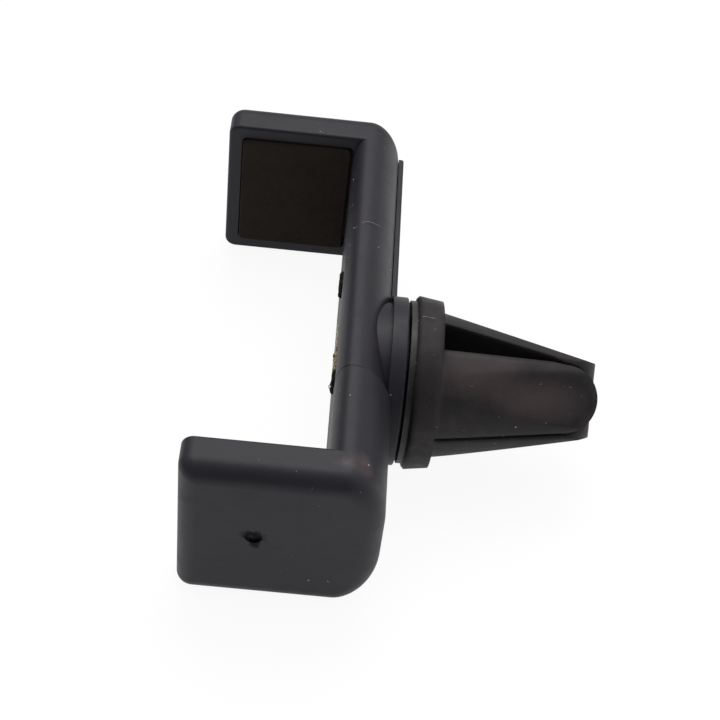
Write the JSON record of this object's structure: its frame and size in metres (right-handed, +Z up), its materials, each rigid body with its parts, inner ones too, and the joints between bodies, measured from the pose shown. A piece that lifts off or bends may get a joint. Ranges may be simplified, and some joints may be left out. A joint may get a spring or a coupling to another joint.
{
  "type": "air vent phone holder",
  "caption": "Spring clamp for a phone with a sliding jaw and padded jaw faces, on a swivelling rubber clip whose slots grip the blade of a car's air vent.",
  "frame": {"origin": "where the swivel's axis crosses the face on which the phone's back lies", "axes": "+X from the phone to the air vent along the swivel's axis, +Y along the clamp towards the fixed jaw, +Z up across the bar"},
  "size_m": [0.0585, 0.0769, 0.0272],
  "materials": {
    "housing_plastic": "satin",
    "cover_plastic": "satin",
    "jaw_plastic": "satin",
    "pad_rubber": "matte",
    "clip_rubber": "matte",
    "hub_plastic": "matte",
    "bush_plastic": "smooth",
    "washer_plastic": "matte",
    "rod_steel": "ground",
    "spring_steel": "drawn wire",
    "small_steel": "zinc plated",
    "screw_steel": "black oxide",
    "torn_foam": "torn"
  },
  "bodies": {
    "clamp_bar": {"housing": "housing_plastic", "back_cover": "cover_plastic", "cover_screws": "screw_steel", "fixed_jaw_pad": "pad_rubber", "front_pad_remnant": "torn_foam", "rod_bushes": "bush_plastic", "return_spring_upper": "spring_steel", "return_spring_lower": "spring_steel", "friction_washer": "washer_plastic"},
    "jaw": {"sliding_jaw": "jaw_plastic", "sliding_jaw_pad": "pad_rubber", "guide_rod_upper": "rod_steel", "guide_rod_lower": "rod_steel", "rod_washers": "small_steel", "rod_clips": "small_steel"},
    "vent_clip": {"clip_rubber": "clip_rubber", "clip_hub": "hub_plastic", "swivel_screw": "small_steel", "thrust_washer": "small_steel", "spring_washer": "small_steel"}
  },
  "joints": [
    {"name": "jaw_slide", "type": "slide", "parent": "clamp_bar", "child": "jaw", "axis": [0, -1, 0], "range_m": [0, 0.015], "stiffness_N_per_m": 1430, "springref_m": -0.003, "deforming": ["return_spring_upper", "return_spring_lower"]},
    {"name": "clip_swivel", "type": "hinge", "parent": "clamp_bar", "child": "vent_clip", "pos_m": [0.0111, 0, 0], "axis": [1, 0, 0], "continuous": true}
  ]
}
